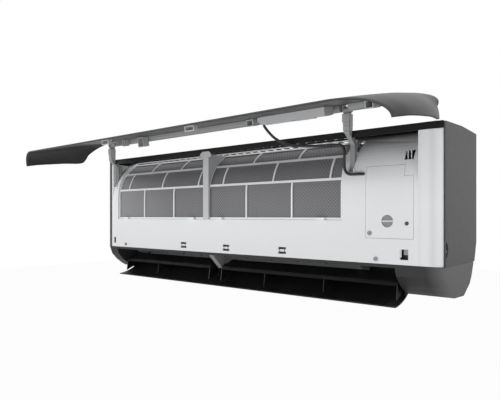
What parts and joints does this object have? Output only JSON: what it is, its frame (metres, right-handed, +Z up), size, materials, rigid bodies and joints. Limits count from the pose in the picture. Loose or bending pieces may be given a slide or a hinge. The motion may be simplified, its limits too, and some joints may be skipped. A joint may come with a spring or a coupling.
{
  "type": "mini split indoor unit",
  "caption": "Wall-hung indoor unit with a lifting front panel, air filters, finned coil, crossflow fan, swinging outlet flap and vanes.",
  "frame": {"origin": "centre of the wall plate's bolt pattern on the wall plane", "axes": "+X to the right seen from the room, +Y into the wall, +Z up"},
  "size_m": [0.998, 0.4156, 0.3742],
  "materials": {
    "plate_steel": "galvanised sheet",
    "chassis_plastic": "moulded, matt",
    "white_plastic": "fine matt moulding",
    "black_plastic": "satin black",
    "grey_plastic": "dark grey satin",
    "dark_plastic": "dark grey satin",
    "light_plastic": "light grey moulding",
    "filter_plastic": "pale moulding",
    "filter_mesh": "fine woven net",
    "fin_aluminium": "thin fins",
    "copper": "drawn tube",
    "fan_plastic": "moulded fan",
    "motor_steel": "zinc plated",
    "rubber": "moulded rubber",
    "board": "green laminate",
    "screw_steel": "bright plated",
    "arm_plastic": "grey moulding",
    "panel_plastic": "dark grey satin gloss",
    "lead_rubber": "black sheath"
  },
  "bodies": {
    "root": {"wall_plate": "plate_steel", "rear_chassis": "chassis_plastic", "front_casing": "white_plastic", "top_cover": "black_plastic", "left_side_panel": "grey_plastic", "right_side_panel": "grey_plastic", "lower_casing": "dark_plastic", "knockout_cover": "dark_plastic", "middle_divider": "light_plastic", "filter_left": "filter_plastic", "filter_right": "filter_plastic", "filter_mesh_left": "filter_mesh", "filter_mesh_right": "filter_mesh", "deodoriser_left": "light_plastic", "deodoriser_right": "light_plastic", "coil_front_lower": "fin_aluminium", "coil_front_upper": "fin_aluminium", "coil_rear": "fin_aluminium", "coil_end_plates": "plate_steel", "coil_tubes": "copper", "drain_pan": "white_plastic", "fan_motor": "motor_steel", "fan_bearing": "rubber", "electrical_box": "chassis_plastic", "circuit_board": "board", "terminal_block": "black_plastic", "service_cover": "white_plastic", "casing_screws": "screw_steel", "flap_bracket": "arm_plastic", "flap_motor": "motor_steel", "vane_motors": "motor_steel", "refrigerant_pipes": "copper", "drain_hose": "white_plastic"},
    "arms": {"arm_left": "arm_plastic", "arm_right": "arm_plastic"},
    "panel": {"front_panel": "panel_plastic", "panel_rail": "arm_plastic", "receiver_box": "light_plastic", "panel_clips": "light_plastic", "panel_lead": "lead_rubber"},
    "fan": {"fan_rotor": "fan_plastic"},
    "flap": {"lower_flap": "black_plastic", "flap_tray_left": "black_plastic", "flap_tray_right": "black_plastic"},
    "knob": {"lock_knob": "light_plastic"},
    "button": {"power_button": "dark_plastic"},
    "vane_left_1": {"vane_left_1": "black_plastic"},
    "vane_left_2": {"vane_left_2": "black_plastic"},
    "vane_left_3": {"vane_left_3": "black_plastic"},
    "vane_left_4": {"vane_left_4": "black_plastic"},
    "vane_left_5": {"vane_left_5": "black_plastic"},
    "tie_bar_left": {"tie_bar_left": "black_plastic"},
    "vane_right_1": {"vane_right_1": "black_plastic"},
    "vane_right_2": {"vane_right_2": "black_plastic"},
    "vane_right_3": {"vane_right_3": "black_plastic"},
    "vane_right_4": {"vane_right_4": "black_plastic"},
    "vane_right_5": {"vane_right_5": "black_plastic"},
    "tie_bar_right": {"tie_bar_right": "black_plastic"}
  },
  "joints": [
    {"name": "panel_lift", "type": "slide", "parent": "root", "child": "arms", "axis": [0, 0, 1], "range_m": [-0.05, 0]},
    {"name": "panel_swing", "type": "hinge", "parent": "arms", "child": "panel", "pos_m": [0, -0.184, 0.196], "axis": [1, 0, 0], "range_deg": [0, 78], "deforming": ["panel_lead"]},
    {"name": "fan_spin", "type": "hinge", "parent": "root", "child": "fan", "pos_m": [0, -0.064, -0.025], "axis": [1, 0, 0], "continuous": true},
    {"name": "flap_swing", "type": "hinge", "parent": "root", "child": "flap", "pos_m": [0, -0.114, -0.122], "axis": [1, 0, 0], "range_deg": [-60, 8]},
    {"name": "knob_turn", "type": "hinge", "parent": "root", "child": "knob", "pos_m": [0.371, -0.176, -0.009], "axis": [0, 1, 0], "range_deg": [0, 90]},
    {"name": "button_press", "type": "slide", "parent": "root", "child": "button", "axis": [0, 1, 0], "range_m": [0, 0.0015], "stiffness_N_per_m": 400},
    {"name": "vane_left_1_turn", "type": "hinge", "parent": "root", "child": "vane_left_1", "pos_m": [-0.4, -0.126, -0.08], "axis": [0, 0, 1], "range_deg": [-30, 30]},
    {"name": "vane_left_2_turn", "type": "hinge", "parent": "root", "child": "vane_left_2", "pos_m": [-0.335, -0.126, -0.08], "axis": [0, 0, 1], "range_deg": [-30, 30]},
    {"name": "vane_left_3_turn", "type": "hinge", "parent": "root", "child": "vane_left_3", "pos_m": [-0.27, -0.126, -0.08], "axis": [0, 0, 1], "range_deg": [-30, 30]},
    {"name": "vane_left_4_turn", "type": "hinge", "parent": "root", "child": "vane_left_4", "pos_m": [-0.205, -0.126, -0.08], "axis": [0, 0, 1], "range_deg": [-30, 30]},
    {"name": "vane_left_5_turn", "type": "hinge", "parent": "root", "child": "vane_left_5", "pos_m": [-0.14, -0.126, -0.08], "axis": [0, 0, 1], "range_deg": [-30, 30]},
    {"name": "tie_bar_left_link", "type": "hinge", "parent": "vane_left_1", "child": "tie_bar_left", "pos_m": [-0.4, -0.1125, -0.088], "axis": [0, 0, 1], "range_deg": [-30, 30]},
    {"name": "vane_right_1_turn", "type": "hinge", "parent": "root", "child": "vane_right_1", "pos_m": [-0.06, -0.126, -0.08], "axis": [0, 0, 1], "range_deg": [-30, 30]},
    {"name": "vane_right_2_turn", "type": "hinge", "parent": "root", "child": "vane_right_2", "pos_m": [0.01, -0.126, -0.08], "axis": [0, 0, 1], "range_deg": [-30, 30]},
    {"name": "vane_right_3_turn", "type": "hinge", "parent": "root", "child": "vane_right_3", "pos_m": [0.08, -0.126, -0.08], "axis": [0, 0, 1], "range_deg": [-30, 30]},
    {"name": "vane_right_4_turn", "type": "hinge", "parent": "root", "child": "vane_right_4", "pos_m": [0.15, -0.126, -0.08], "axis": [0, 0, 1], "range_deg": [-30, 30]},
    {"name": "vane_right_5_turn", "type": "hinge", "parent": "root", "child": "vane_right_5", "pos_m": [0.22, -0.126, -0.08], "axis": [0, 0, 1], "range_deg": [-30, 30]},
    {"name": "tie_bar_right_link", "type": "hinge", "parent": "vane_right_1", "child": "tie_bar_right", "pos_m": [-0.06, -0.1125, -0.088], "axis": [0, 0, 1], "range_deg": [-30, 30]}
  ],
  "couplings": [
    {"joint": "panel_lift", "follows": "panel_swing", "m_per_rad": -0.036728},
    {"joint": "vane_left_2_turn", "follows": "vane_left_1_turn", "ratio": 1},
    {"joint": "vane_left_3_turn", "follows": "vane_left_1_turn", "ratio": 1},
    {"joint": "vane_left_4_turn", "follows": "vane_left_1_turn", "ratio": 1},
    {"joint": "vane_left_5_turn", "follows": "vane_left_1_turn", "ratio": 1},
    {"joint": "tie_bar_left_link", "follows": "vane_left_1_turn", "ratio": -1},
    {"joint": "vane_right_2_turn", "follows": "vane_right_1_turn", "ratio": 1},
    {"joint": "vane_right_3_turn", "follows": "vane_right_1_turn", "ratio": 1},
    {"joint": "vane_right_4_turn", "follows": "vane_right_1_turn", "ratio": 1},
    {"joint": "vane_right_5_turn", "follows": "vane_right_1_turn", "ratio": 1},
    {"joint": "tie_bar_right_link", "follows": "vane_right_1_turn", "ratio": -1}
  ]
}
